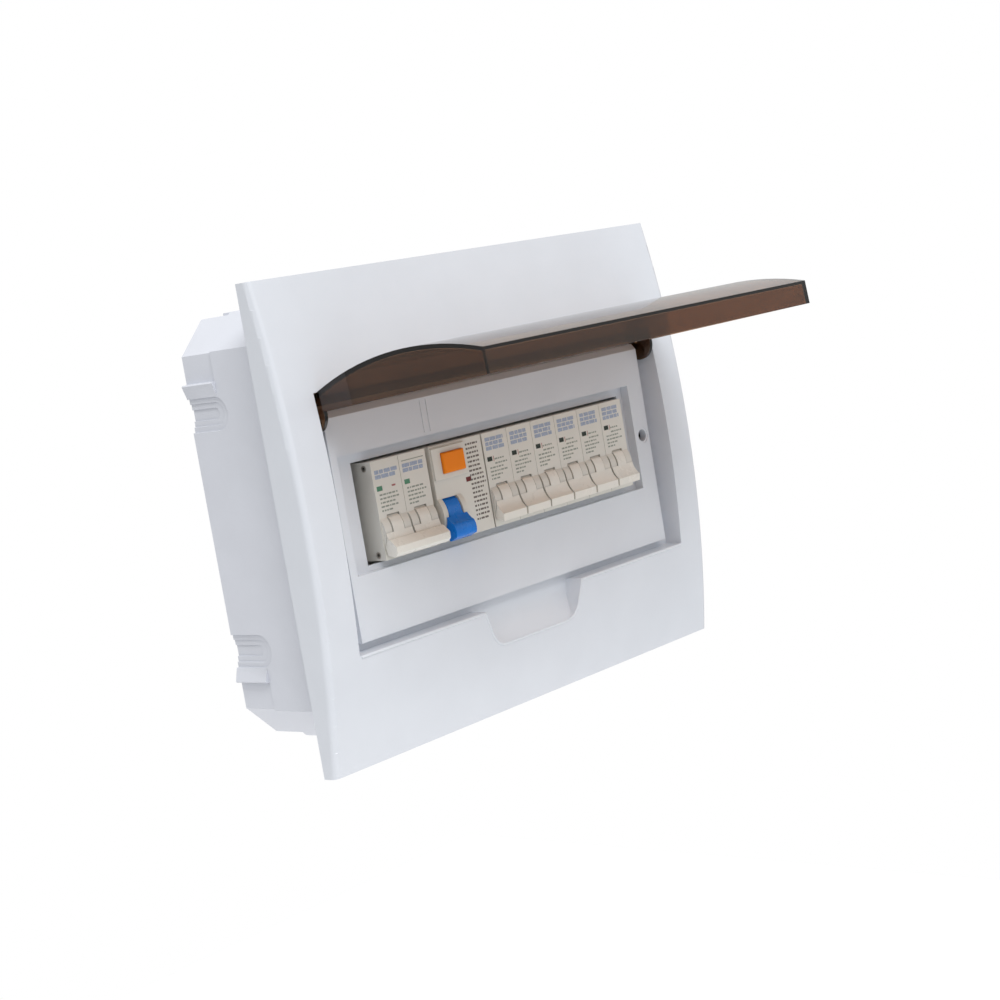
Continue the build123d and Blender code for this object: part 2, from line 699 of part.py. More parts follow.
def cut_clip_slot(x):
    """Grooved slot in the rear for the sliding rail clip."""
    with BuildSketch(front_plane(0)) as face:
        half = CLIP_HALF_WIDTH + 0.1
        bounds_rectangle(x - half, x + half, -BODY_HALF - 1, -RAIL_HALF_HEIGHT)
    extrude(face.sketch, amount=9.5, mode=Mode.SUBTRACT)
    with BuildSketch(front_plane(7.4)) as face:
        half = CLIP_WING_HALF_WIDTH + 0.1
        bounds_rectangle(x - half, x + half, -BODY_HALF - 1, -RAIL_HALF_HEIGHT)
    extrude(face.sketch, amount=1.4, mode=Mode.SUBTRACT)


def cut_rivet_holes(x, half_width, places):
    """Rivet holes from side to side."""
    with BuildSketch(side_plane(x)) as face:
        with Locations(*places):
            Circle(RIVET_RADIUS + 0.02)
    extrude(face.sketch, amount=half_width + 1, both=True, mode=Mode.SUBTRACT)


def cut_eyelet_holes(x, half_width):
    """Blind hole for an eyelet in each side of a housing."""
    for side in (-1, 1):
        with BuildSketch(side_plane(x + side * half_width)) as face:
            with Locations(EYELET):
                Circle(RIVET_RADIUS + 0.02)
        extrude(face.sketch, amount=side * EYELET_DEPTH, mode=Mode.SUBTRACT)


def cut_flag_window(x, z):
    """Shallow window for a contact position flag."""
    with BuildSketch(front_plane(NOSE_H - 0.7)) as face:
        with Locations((x, z)):
            Rectangle(*FLAG_SIZE)
    extrude(face.sketch, amount=5, mode=Mode.SUBTRACT)


def flag_x(x):
    """Flag position on a pole centred at x."""
    return x - MODULE / 2 + 3.5


def make_pole_housing(name, x):
    """Housing of one pole: body, nose and the round bulge on both sides of its toggle."""
    with BuildPart() as housing:
        with BuildSketch(side_plane(x)):
            device_section()
        extrude(amount=DEVICE_WIDTH / 2, both=True)
        with BuildSketch(side_plane(x)):
            with Locations((TOGGLE_H, TOGGLE_Z)):
                Circle(BULGE_RADIUS)
        extrude(amount=DEVICE_WIDTH / 2 - 0.4, both=True)
        cut_toggle_pocket(x, STEM_SLOT_HALF)
        cut_terminals(x)
        cut_clip_slot(x)
        cut_rivet_holes(x, DEVICE_WIDTH / 2, RIVETS + [UPPER_NOSE_RIVET])
        cut_eyelet_holes(x, DEVICE_WIDTH / 2)
        cut_flag_window(flag_x(x), CONTACT_FLAG_Z)
    keep(housing, f"{name}_housing")


def make_rcd_housing():
    """Two-module housing with a raised bezel round the test button."""
    with BuildPart() as housing:
        with BuildSketch(side_plane(RCD_X)):
            device_section()
        extrude(amount=MODULE - 0.1, both=True)
        with BuildSketch(side_plane(RCD_TOGGLE_X)):
            with Locations((TOGGLE_H, TOGGLE_Z)):
                Circle(RCD_BULGE_RADIUS)
        extrude(amount=RCD_BULGE_HALF, both=True)
        with BuildSketch(front_plane(NOSE_H)):
            bounds_rectangle(RCD_LEFT_X + 0.4, RCD_LEFT_X + 23.4, 6.4, 21.2)
        extrude(amount=1.1)
        cut_toggle_pocket(RCD_TOGGLE_X, RCD_SLOT_HALF)
        cut_terminals(RCD_X - MODULE / 2)
        cut_terminals(RCD_X + MODULE / 2)
        cut_clip_slot(RCD_X)
        cut_rivet_holes(RCD_X, MODULE, RIVETS)
        cut_eyelet_holes(RCD_X, MODULE - 0.1)
        cut_flag_window(RCD_FLAG_X, RCD_FLAG_Z)
        with BuildSketch(front_plane(60.0)):
            with Locations((BUTTON_X, BUTTON_Z)):
                Rectangle(BUTTON_WIDTH + 2.1, BUTTON_HEIGHT + 2.1)
        extrude(amount=6.0, mode=Mode.SUBTRACT)
        with BuildSketch(front_plane(65.0)):
            with Locations((BUTTON_X, BUTTON_Z)):
                Rectangle(BUTTON_WIDTH + 0.2, BUTTON_HEIGHT + 0.2)
        extrude(amount=10.0, mode=Mode.SUBTRACT)
    keep(housing, "rcd_housing")


for pole_name, pole_x in main_poles() + singles():
    make_pole_housing(pole_name, pole_x)
make_rcd_housing()


# ---------------------------------------------------------------- toggles and button
def pole_paddle():
    """Flared paddle of a pole's toggle in (h, z), switched off, in the current sketch."""
    with BuildLine() as border:
        ThreePointArc((72.85, -10.3), (73.9, -13.6), (76.3, -16.5))
        Polyline(
            (76.3, -16.5), (75.9, -20.0), (71.3, -18.8), (70.9, -16.9), (69.5, -10.3), (72.85, -10.3)
        )
    make_face(border.edges())


def rcd_paddle():
    """Taller paddle of the residual-current device's toggle, in the current sketch."""
    with BuildLine() as border:
        ThreePointArc((72.95, -9.0), (74.6, -12.2), (77.2, -14.3))
        ThreePointArc((77.2, -14.3), (78.3, -17.9), (77.8, -20.6))
        Polyline(
            (77.8, -20.6), (73.5, -22.3), (71.5, -20.0), (70.9, -16.9), (69.5, -9.0), (72.95, -9.0)
        )
    make_face(border.edges())


def toggle_body(x, paddle, stem_half, paddle_half, bulge_radius):
    """Drum with its pins, a raised thumb plate, and a paddle flaring out of the plate."""
    with BuildSketch(side_plane(x)) as face:
        with Locations((TOGGLE_H, TOGGLE_Z)):
            Circle(THUMB_RADIUS)
        bounds_rectangle(TOGGLE_H + 5, TOGGLE_H + 15, -20.0, THUMB_TOP_Z, mode=Mode.INTERSECT)
        with Locations((TOGGLE_H, TOGGLE_Z)):
            Circle(DRUM_RADIUS)
        paddle()
    extrude(face.sketch, amount=stem_half, both=True)
    with BuildSketch(side_plane(x)) as face:
        paddle()
        with Locations((TOGGLE_H, TOGGLE_Z)):
            Circle(bulge_radius + BULGE_PLAY, mode=Mode.SUBTRACT)
    extrude(face.sketch, amount=paddle_half, both=True)
    with BuildSketch(side_plane(x)) as face:
        with Locations((TOGGLE_H, TOGGLE_Z)):
            Circle(PIN_RADIUS)
    extrude(face.sketch, amount=stem_half + 1.7, both=True)


for pole_name, pole_x in main_poles() + singles():
    with BuildPart() as toggle:
        toggle_body(pole_x, pole_paddle, STEM_HALF, PADDLE_HALF, BULGE_RADIUS)
    keep(toggle, f"{pole_name}_toggle")

with BuildPart() as rcd_toggle:
    toggle_body(RCD_TOGGLE_X, rcd_paddle, RCD_STEM_HALF, RCD_PADDLE_HALF, RCD_BULGE_RADIUS)
keep(rcd_toggle, "rcd_toggle")

with BuildPart() as tie_handle:
    with BuildSketch(side_plane(MAIN_LEFT_X + MODULE)) as grip:
        outline(
            (74.2, -12.9), (78.2, -16.6), (78.0, -19.6), (76.4, -21.2), (71.9, -20.4), (71.6, -17.4)
        )
        fillet(grip.vertices(), 0.6)
    extrude(amount=MODULE - 0.3, both=True)
    # a pocket for each toggle's paddle
    for _, pole_x in main_poles():
        with BuildSketch(side_plane(pole_x)):
            pole_paddle()
            offset(amount=0.06)
        extrude(amount=PADDLE_HALF + 0.06, both=True, mode=Mode.SUBTRACT)
keep(tie_handle, "main_breaker_tie_handle")

with BuildPart() as test_button:
    with BuildSketch(front_plane(64.7)):
        with Locations((BUTTON_X, BUTTON_Z)):
            Rectangle(BUTTON_WIDTH + 1.9, BUTTON_HEIGHT + 1.9)
    extrude(amount=1.2)
    with BuildSketch(front_plane(64.7)):
        with Locations((BUTTON_X, BUTTON_Z)):
            Rectangle(BUTTON_WIDTH, BUTTON_HEIGHT)
    extrude(amount=BUTTON_H - 64.7)
    rim = test_button.faces().sort_by(Axis.Y)[0].edges()
    fillet(rim, 0.8)
keep(test_button, "rcd_test_button")


# ---------------------------------------------------------------- rail clips
def make_rail_clip(name, x):
    """Sliding clip with side wings, a tip behind the rail and a slot for a screwdriver."""
    with BuildPart() as clip:
        with BuildSketch(front_plane(5.8)):
            bounds_rectangle(x - CLIP_HALF_WIDTH, x + CLIP_HALF_WIDTH, CLIP_BOTTOM_Z, CLIP_TOP_Z)
        extrude(amount=3.6)
        with BuildSketch(front_plane(7.5)):
            bounds_rectangle(
                x - CLIP_WING_HALF_WIDTH,
                x + CLIP_WING_HALF_WIDTH,
                CLIP_BOTTOM_Z + 6.5,
                -RAIL_HALF_HEIGHT - 4.0,
            )
        extrude(amount=1.2)
        with BuildSketch(front_plane(5.0)):
            bounds_rectangle(x - 2.5, x + 2.5, CLIP_BOTTOM_Z + 1.2, CLIP_BOTTOM_Z + 2.6)
        extrude(amount=6.0, mode=Mode.SUBTRACT)
    keep(clip, f"{name}_rail_clip")


for device_name, device_x in main_poles() + [("rcd", RCD_X)] + singles():
    make_rail_clip(device_name, device_x)


# ---------------------------------------------------------------- terminals, rivets and flags
with BuildPart() as terminal_clamps:
    for x in pole_centres():
        for end in (-1, 1):
            with BuildSketch(front_plane(34.0)):
                with Locations((x, end * TERMINAL_Z)):
                    Rectangle(9.4, 7.0)
            extrude(amount=10.5)
            with BuildSketch(level_plane(end * TERMINAL_Z)):
                with Locations((x, -38.4)):
                    Rectangle(6.6, 6.2)
            extrude(amount=5.0, both=True, mode=Mode.SUBTRACT)
            with BuildSketch(front_plane(41.0)):
                with Locations((x, end * TERMINAL_Z)):
                    Circle(2.02)
            extrude(amount=5.0, mode=Mode.SUBTRACT)
keep(terminal_clamps, "terminal_clamps")

with BuildPart() as terminal_screws:
    for x in pole_centres():
        for end in (-1, 1):
            pan_screw(x, end * TERMINAL_Z, 46.5, 5.2, 2.7, 2.4, 2.0)
keep(terminal_screws, "terminal_screws")

def make_rivets(x, half_width, places):
    """Tubular rivets from side to side of a housing, and an eyelet in each side."""
    with BuildSketch(side_plane(x)) as face:
        with Locations(*places):
            Circle(RIVET_RADIUS)
            Circle(0.7, mode=Mode.SUBTRACT)
    extrude(face.sketch, amount=half_width, both=True)
    for side in (-1, 1):
        with BuildSketch(side_plane(x + side * half_width)) as face:
            with Locations(EYELET):
                Circle(RIVET_RADIUS)
                Circle(0.7, mode=Mode.SUBTRACT)
        extrude(face.sketch, amount=side * EYELET_DEPTH)


with BuildPart() as housing_rivets:
    for _, device_x in main_poles() + singles():
        make_rivets(device_x, DEVICE_WIDTH / 2, RIVETS + [UPPER_NOSE_RIVET])
    make_rivets(RCD_X, MODULE - 0.1, RIVETS)
keep(housing_rivets, "housing_rivets")


def make_flags(name, places):
    """Flag inserts seated in their windows, at (x, z) places."""
    with BuildPart() as flags:
        with BuildSketch(front_plane(NOSE_H - 0.7)):
            with Locations(*places):
                Rectangle(*FLAG_SIZE)
        extrude(amount=0.5)
    keep(flags, name)


make_flags("main_breaker_flags", [(flag_x(x), CONTACT_FLAG_Z) for _, x in main_poles()])
make_flags("breaker_flags", [(flag_x(x), CONTACT_FLAG_Z) for _, x in singles()])
make_flags("rcd_flag", [(RCD_FLAG_X, RCD_FLAG_Z)])
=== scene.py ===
import json
import math
import random

import bpy
from mathutils import Matrix, Vector


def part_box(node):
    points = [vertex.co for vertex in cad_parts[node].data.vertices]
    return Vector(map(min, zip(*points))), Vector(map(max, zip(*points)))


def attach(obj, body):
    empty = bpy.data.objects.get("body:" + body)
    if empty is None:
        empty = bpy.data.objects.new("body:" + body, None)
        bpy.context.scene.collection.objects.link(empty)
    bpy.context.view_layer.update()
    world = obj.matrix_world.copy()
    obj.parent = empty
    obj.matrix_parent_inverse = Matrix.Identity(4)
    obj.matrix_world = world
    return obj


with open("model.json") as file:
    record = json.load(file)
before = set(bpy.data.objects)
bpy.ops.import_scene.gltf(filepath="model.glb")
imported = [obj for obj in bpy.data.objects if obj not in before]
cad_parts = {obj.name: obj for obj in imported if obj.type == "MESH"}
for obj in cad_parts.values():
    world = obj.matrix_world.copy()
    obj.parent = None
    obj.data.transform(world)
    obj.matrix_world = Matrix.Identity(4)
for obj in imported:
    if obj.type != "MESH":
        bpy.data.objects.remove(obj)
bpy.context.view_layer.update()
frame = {"nodes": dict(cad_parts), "record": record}
scene = bpy.context.scene
scene.view_settings.view_transform = "Standard"
nodes = frame["nodes"]
MM = 0.001


# ---------------------------------------------------------------- material building
def srgb(red, green, blue):
    """Linear colour from 8-bit screen values."""
    def linear(value):
        value /= 255
        return value / 12.92 if value <= 0.04045 else ((value + 0.055) / 1.055) ** 2.4
    return (linear(red), linear(green), linear(blue), 1.0)


def shade(colour, factor):
    return tuple(min(1.0, channel * factor) for channel in colour[:3]) + (1.0,)


class Graph:
    """Node tree of one material, with short calls for the nodes used here."""

    def __init__(self, name):
        self.material = bpy.data.materials.new(name)
        self.material.use_nodes = True
        self.tree = self.material.node_tree
        self.shader = self.tree.nodes["Principled BSDF"]
        self.place = self.add("ShaderNodeTexCoord").outputs["Object"]

    def add(self, kind, **settings):
        node = self.tree.nodes.new(kind)
        for key, value in settings.items():
            setattr(node, key, value)
        return node

    def link(self, source, target):
        self.tree.links.new(source, target)

    def drive(self, **sockets):
        """Link values to the shader's sockets, Base_Color standing for Base Color."""
        for name, source in sockets.items():
            self.link(source, self.shader.inputs[name.replace("_", " ")])

    def stretched(self, scale):
        mapping = self.add("ShaderNodeMapping")
        mapping.inputs["Scale"].default_value = scale
        self.link(self.place, mapping.inputs["Vector"])
        return mapping.outputs["Vector"]

    def noise(self, scale, detail=3.0, roughness=0.55, where=None):
        node = self.add("ShaderNodeTexNoise")
        node.inputs["Scale"].default_value = scale
        node.inputs["Detail"].default_value = detail
        node.inputs["Roughness"].default_value = roughness
        self.link(where or self.place, node.inputs["Vector"])
        return node.outputs["Fac"]

    def spread(self, value, over, to=(0.0, 1.0)):
        """The value's range "over" stretched to the range "to"."""
        node = self.add("ShaderNodeMapRange")
        for key, number in zip(("From Min", "From Max", "To Min", "To Max"), over + to):
            node.inputs[key].default_value = number
        self.link(value, node.inputs["Value"])
        return node.outputs["Result"]

    def mix(self, factor, first, second):
        """Colour between two others, which are constants or outputs of nodes."""
        node = self.add("ShaderNodeMix", data_type="RGBA")
        self.link(factor, node.inputs["Factor"])
        colour_a, colour_b, result = node.inputs[6], node.inputs[7], node.outputs[2]
        for socket, colour in ((colour_a, first), (colour_b, second)):
            if isinstance(colour, tuple):
                socket.default_value = colour
            else:
                self.link(colour, socket)
        return result

    def bump(self, height, strength, distance, under=None):
        node = self.add("ShaderNodeBump")
        node.inputs["Strength"].default_value = strength
        node.inputs["Distance"].default_value = distance
        self.link(height, node.inputs["Height"])
        if under:
            self.link(under, node.inputs["Normal"])
        return node.outputs["Normal"]

    def corners(self, distance, strength):
        """How sheltered a point is, as a mask of painted shade: 0 in the open, up to strength in a
        corner.
        """
        node = self.add("ShaderNodeAmbientOcclusion", samples=4)
        node.inputs["Distance"].default_value = distance
        return self.spread(node.outputs["AO"], over=(0.35, 0.95), to=(strength, 0.0))


def plastic(name, colour, rough=0.42, grain=2600.0, grain_depth=0.10, clouds=0.05,
            corner_shade=0.18, corner_shade_colour=None, coat=0.0, specular=0.5):
    """Moulded plastic: fine spark texture, faint clouding, flow marks and painted shade in its corners.
    """
    g = Graph(name)
    clouding = g.spread(g.noise(scale=38.0, detail=4.0), over=(0.3, 0.7))
    body = g.mix(clouding, shade(colour, 1 - clouds), shade(colour, 1 + clouds))
    specks = g.noise(scale=900.0, detail=2.0, roughness=0.7)
    body = g.mix(g.spread(specks, over=(0.70, 0.78), to=(0.0, 0.35)), body, shade(colour, 0.80))
    # Painted shade: corners the ambient-occlusion node finds sheltered are darkened towards a dim tint
    # of the colour or the given tint.
    painted_shade = g.corners(distance=3 * MM, strength=corner_shade)
    body = g.mix(painted_shade, body, corner_shade_colour or shade(colour, 0.42))
    handled = g.noise(scale=75.0, detail=5.0, roughness=0.6)
    handled = g.spread(handled, over=(0.35, 0.7), to=(rough - 0.05, rough + 0.09))
    sparks = g.noise(scale=grain, detail=2.0, roughness=0.5)
    surface = g.bump(sparks, strength=grain_depth, distance=0.12 * MM)
    wave = g.noise(scale=22.0, detail=2.0, roughness=0.4, where=g.stretched((1.0, 1.0, 2.6)))
    surface = g.bump(wave, strength=0.12, distance=1.2 * MM, under=surface)
    g.drive(Base_Color=body, Roughness=handled, Normal=surface)
    g.shader.inputs["Coat Weight"].default_value = coat
    g.shader.inputs["Coat Roughness"].default_value = 0.12
    g.shader.inputs["Specular IOR Level"].default_value = specular
    return g.material


def metal(name, colour, rough=0.32, along=(1.0, 1.0, 1.0), tarnish=None):
    """Plated or drawn metal: fine directional scratches, dulled patches and painted shade darkening its
    corners.
    """
    g = Graph(name)
    lines = g.noise(scale=1700.0, detail=3.0, roughness=0.6, where=g.stretched(along))
    patches = g.noise(scale=120.0, detail=4.0, roughness=0.6)
    body = g.mix(g.spread(patches, over=(0.38, 0.66)), colour, tarnish or shade(colour, 0.74))
    # Painted shade: corners the ambient-occlusion node finds sheltered are darkened to 0.28 of the
    # colour.
    body = g.mix(g.corners(distance=2 * MM, strength=0.55), body, shade(colour, 0.28))
    polish = g.spread(lines, over=(0.3, 0.7), to=(rough - 0.08, rough + 0.14))
    scratches = g.bump(lines, strength=0.10, distance=0.08 * MM)
    g.drive(Base_Color=body, Roughness=polish, Normal=scratches)
    g.shader.inputs["Metallic"].default_value = 1.0
    return g.material


def smoked(name, tint):
    """Clear smoked plastic: see-through body with faint hairlines and a slightly wavy face."""
    g = Graph(name)
    clouding = g.spread(g.noise(scale=30.0), over=(0.3, 0.7))
    hairs = g.noise(scale=900.0, detail=2.0, roughness=0.6, where=g.stretched((0.05, 1.0, 1.0)))
    waves = g.noise(scale=26.0, detail=2.0, roughness=0.4)
    g.drive(Base_Color=g.mix(clouding, shade(tint, 0.94), shade(tint, 1.06)),
            Roughness=g.spread(hairs, over=(0.4, 0.75), to=(0.035, 0.09)),
            Normal=g.bump(waves, strength=0.10, distance=1.0 * MM))
    g.shader.inputs["Transmission Weight"].default_value = 1.0
    g.shader.inputs["IOR"].default_value = 1.49
    return g.material


def ink(name, colour, rough=0.55):
    """Printing ink: slightly uneven cover over the plastic."""
    g = Graph(name)
    cover = g.spread(g.noise(scale=1400.0, roughness=0.65), over=(0.36, 0.62))
    sheen = g.spread(g.noise(scale=300.0), over=(0.3, 0.7), to=(rough - 0.08, rough + 0.08))
    grain = g.noise(scale=2600.0, detail=2.0)
    g.drive(Base_Color=g.mix(cover, shade(colour, 1.22), shade(colour, 0.9)), Roughness=sheen,
            Normal=g.bump(grain, strength=0.08, distance=0.05 * MM))
    return g.material


DRAWN = (0.05, 1.0, 1.0)    # noise stretched along X, as on metal drawn that way

# The corner-darkening strength and colour given to each plastic below set how much painted shade goes
# into its corners.
LOOKS = {
    "fascia_plastic": plastic("fascia_white", srgb(218, 222, 229), 0.33, clouds=0.015, corner_shade=0.04,
                              coat=0.35),
    "box_plastic": plastic("box_white", srgb(216, 219, 227), 0.48, grain=1900.0, grain_depth=0.16,
                           clouds=0.02, corner_shade=0.16),
    "breaker_plastic": plastic("breaker_grey", srgb(228, 226, 219), 0.48, grain=2400.0,
                               grain_depth=0.2, clouds=0.02, corner_shade=0.30,
                               corner_shade_colour=srgb(112, 104, 90)),
    "toggle_plastic": plastic("toggle_cream", srgb(240, 237, 229), 0.30, clouds=0.02, corner_shade=0.30,
                              corner_shade_colour=srgb(112, 102, 86), coat=0.2),
    "blue_plastic": plastic("toggle_blue", srgb(2, 122, 222), 0.26, corner_shade=0.25),
    "orange_plastic": plastic("button_orange", srgb(255, 140, 20), 0.46, clouds=0.03, corner_shade=0.3,
                              corner_shade_colour=srgb(120, 52, 18), specular=0.25),
    "clip_plastic": plastic("clip_grey", srgb(92, 95, 98), 0.5),
    "neutral_blue_plastic": plastic("holder_blue", srgb(52, 92, 150), 0.45),
    "earth_green_plastic": plastic("holder_green", srgb(44, 110, 62), 0.45),
    "smoked_plastic": smoked("door_smoked", srgb(135, 102, 75)),
    "rail_steel": metal("rail_zinc", srgb(196, 196, 192), 0.34, DRAWN),
    "bar_brass": metal("bar_brass", srgb(205, 172, 100), 0.3, DRAWN, srgb(150, 116, 62)),
    "flag_green": plastic("flag_green", srgb(84, 142, 112), 0.4, corner_shade=0.4),
    "flag_dark_green": plastic("flag_black_green", srgb(30, 44, 34), 0.4, corner_shade=0.4),
    "flag_dark_red": plastic("flag_dark_red", srgb(112, 26, 26), 0.4, corner_shade=0.4),
    "rivet_steel": metal("rivet_steel", srgb(226, 220, 210), 0.55),
    "screw_steel": metal("screw_zinc", srgb(190, 190, 190), 0.3),
}
DARK_SCREW = metal("fascia_screw_dark", srgb(62, 60, 60), 0.55, tarnish=srgb(34, 32, 32))


# ---------------------------------------------------------------- moulded edges
SOFT_SLOTS = ("breaker_plastic", "toggle_plastic", "blue_plastic", "orange_plastic", "smoked_plastic",
              "box_plastic", "fascia_plastic")
SOFT_EDGE = 0.0002                                  # width of the rounding on most pieces, metres
SOFT_EDGES = {"fascia": 0.0004, "back_box": 0.0003}
WELD_REACH = 1e-6
FLAT_ANGLE = math.radians(0.5)                      # faces meeting at less than this become one
SHARP_ANGLE = math.radians(32)                      # edges sharper than this are rounded


def soften(piece, width):
    """Small moulded radius on every sharp edge, with flat faces kept flat."""
    weld = piece.modifiers.new("weld", "WELD")
    weld.merge_threshold = WELD_REACH
    flats = piece.modifiers.new("merge_flats", "DECIMATE")
    flats.decimate_type = "DISSOLVE"
    flats.angle_limit = FLAT_ANGLE
    edges = piece.modifiers.new("edges", "BEVEL")
    edges.width = width
    edges.segments = 2
    edges.limit_method = "ANGLE"
    edges.angle_limit = SHARP_ANGLE
    edges.harden_normals = False
    edges.use_clamp_overlap = True
    normals = piece.modifiers.new("normals", "WEIGHTED_NORMAL")
    normals.keep_sharp = False


for part in frame["record"]["subparts"]:
    piece = nodes[part["node"]]
    look = DARK_SCREW if part["node"] == "fascia_screw" else LOOKS[part["material_slot"]]
    for slot in piece.material_slots:
        slot.material = look
    if part["material_slot"] in SOFT_SLOTS:
        soften(piece, SOFT_EDGES.get(part["node"], SOFT_EDGE))


# ---------------------------------------------------------------- printing on the device fronts
NOSE_FRONT = -70.6 * MM     # y of the devices' flat fronts
PRINT_LIFT = 0.03 * MM      # how far ink stands off the plastic
PRINT_ROOT = 0.05 * MM      # how far a print reaches into it
CORNER_CUT = 0.12 * MM      # clipped off each corner of a plate, at most
CORNER_SHARE = 0.2          # and at most this part of a side


class Print:
    """Thin closed plates on the flat fronts, all of one ink, as one mesh."""

    def __init__(self, name, look, slot="breaker_plastic"):
        self.name, self.look, self.slot = name, look, slot
        self.vertices, self.faces = [], []

    def plate(self, x0, x1, z0, z1):
        """Rectangle on the devices' fronts with clipped corners, all in metres."""
        cut = min(CORNER_CUT, (x1 - x0) * CORNER_SHARE, (z1 - z0) * CORNER_SHARE)
        ring = [(x0 + cut, z0), (x1 - cut, z0), (x1, z0 + cut), (x1, z1 - cut),
                (x1 - cut, z1), (x0 + cut, z1), (x0, z1 - cut), (x0, z0 + cut)]
        base = len(self.vertices)
        count = len(ring)
        for depth in (NOSE_FRONT - PRINT_LIFT, NOSE_FRONT + PRINT_ROOT):
            self.vertices += [(x, depth, z) for x, z in ring]
        self.faces.append([base + i for i in range(count)])
        self.faces.append([base + count + i for i in reversed(range(count))])
        for i in range(count):
            j = (i + 1) % count
            self.faces.append([base + i, base + count + i, base + count + j, base + j])

    def build(self, body):
        mesh = bpy.data.meshes.new(self.name)
        mesh.from_pydata(self.vertices, [], self.faces)
        mesh.update()
        mesh.materials.append(self.look)
        piece = bpy.data.objects.new(self.name, mesh)
        scene.collection.objects.link(piece)
        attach(piece, body)


chance = random.Random(7)
blocks = Print("print_blocks", ink("ink_blue_grey", srgb(162, 174, 196)))
rows = Print("print_rows", ink("ink_grey", srgb(150, 156, 146)))
diagram = Print("print_diagram", ink("ink_brown_grey", srgb(112, 104, 98)))
red_marks = Print("print_red", ink("ink_red", srgb(176, 112, 108)))

# rows of print: height z, left end and right end, in mm, the ends counted from the device's left edge
SINGLE_BLOCKS = ((19.2, 1.9, 14.9), (17.0, 1.9, 14.2), (14.8, 1.9, 14.9))
SINGLE_ROWS = ((9.3, 6.6, 13.5), (7.2, 6.6, 15.2), (5.4, 2.6, 12.2), (3.6, 2.6, 14.8),
               (1.8, 2.6, 10.8), (0.1, 2.6, 8.6))
MAIN_BLOCKS = ((17.2, 1.7, 16.2), (15.0, 1.7, 15.4))
MAIN_ROWS = ((6.8, 2.6, 14.2), (5.0, 2.6, 15.4), (3.2, 2.6, 12.4), (1.4, 2.6, 14.0),
             (-0.4, 2.6, 9.6))
# single bars: left, right, bottom and top, in mm, from the same edge
SINGLE_RED = (5.9, 6.3, 8.3, 10.9)
MAIN_RED = (11.2, 13.6, 9.5, 10.3)
MAIN_RULE = (1.7, 16.2, 19.2, 19.6)

BLOCK_HEIGHT = 1.75 * MM
BLOCK_LENGTHS = (2.2, 5.2)  # shortest and longest bar in a row, mm
ROW_HEIGHT = 0.75 * MM
ROW_LENGTHS = (0.7, 2.4)
WORD_GAPS = (0.35, 0.6)     # narrowest and widest gap between bars, mm
ROOM_LEFT = 0.6 * MM        # a row ends when less than this is left of it

DIAGRAM_ROWS = 18
DIAGRAM_TOP = 19.4          # z of its first row, mm
DIAGRAM_PITCH = 2.1
DIAGRAM_HEIGHT = 0.9 * MM
DIAGRAM_START = 11.2        # left end of its rows, mm from the device's right edge
DIAGRAM_END = 1.0           # longest row's right end, and how much shorter others are
DIAGRAM_RAGGED = 2.6


def word_row(sheet, x0, x1, z, height, lengths=ROW_LENGTHS):
    """Row of generic bars of uneven length, like small print seen from afar."""
    x = x0
    while x < x1 - ROOM_LEFT:
        length = min(chance.uniform(*lengths) * MM, x1 - x)
        sheet.plate(x, x + length, z - height / 2, z + height / 2)
        x += length + chance.uniform(*WORD_GAPS) * MM


def word_rows(sheet, left, table, height, lengths=ROW_LENGTHS):
    for z, start, end in table:
        word_row(sheet, left + start * MM, left + end * MM, z * MM, height, lengths)


def bar(sheet, left, sides):
    x0, x1, z0, z1 = sides
    sheet.plate(left + x0 * MM, left + x1 * MM, z0 * MM, z1 * MM)


def left_edge(node):
    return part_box(node)[0][0]


def right_edge(node):
    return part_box(node)[1][0]


for n in range(6):
    left = left_edge(f"breaker_{n + 1}_housing")
    word_rows(blocks, left, SINGLE_BLOCKS, BLOCK_HEIGHT, BLOCK_LENGTHS)
    word_rows(rows, left, SINGLE_ROWS, ROW_HEIGHT)
    bar(red_marks, left, SINGLE_RED)
for name in ("main_breaker_left_housing", "main_breaker_right_housing"):
    left = left_edge(name)
    word_rows(blocks, left, MAIN_BLOCKS, BLOCK_HEIGHT, BLOCK_LENGTHS)
    word_rows(rows, left, MAIN_ROWS, ROW_HEIGHT)
bar(rows, left_edge("main_breaker_right_housing"), MAIN_RULE)
bar(red_marks, left_edge("main_breaker_left_housing"), MAIN_RED)
right = right_edge("rcd_housing")
for k in range(DIAGRAM_ROWS):
    z = DIAGRAM_TOP - DIAGRAM_PITCH * k
    end = DIAGRAM_END + DIAGRAM_RAGGED * chance.random()
    word_row(diagram, right - DIAGRAM_START * MM, right - end * MM, z * MM, DIAGRAM_HEIGHT)
for sheet in (blocks, rows, diagram, red_marks):
    sheet.build("board")


# ---------------------------------------------------------------- bead round the finger scoop
HALF_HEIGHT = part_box("fascia")[1][2]
CROWN = 77.6 * MM           # front of the fascia at mid height, and how far it falls to its edges
EDGE_DROP = 10.3 * MM
BEAD_RADIUS = 0.75 * MM
BEAD_SINK = 0.25 * MM       # how far the bead's centre line lies below the fascia's face

# line of the bead, in mm (x, z): one half, mirrored in the middle of the scoop
BEAD_END = 119.0
BEAD_STEP = 10.0
STRAIGHT_POINTS = 9
SCOOP_HALF = 36.0           # half width of the scoop at its mouth and at its foot
SCOOP_FOOT = 30.0
SCOOP_TOP = -59.7
SCOOP_BOTTOM = -77.4
SCOOP_CORNER = 11.0         # radius at its foot
MOUTH_CUT = 0.8             # corner clipped where the straight line turns into the scoop
CORNER_STEPS = 8
FOOT_SHARES = (0.75, 0.5, 0.25, 0.0)    # points along the foot, as parts of its half width


def fascia_front(z):
    """Height of the fascia's arched front face above the rear face of the box."""
    radius = (EDGE_DROP ** 2 + HALF_HEIGHT ** 2) / (2 * EDGE_DROP)
    return CROWN - radius + math.sqrt(radius ** 2 - z ** 2)


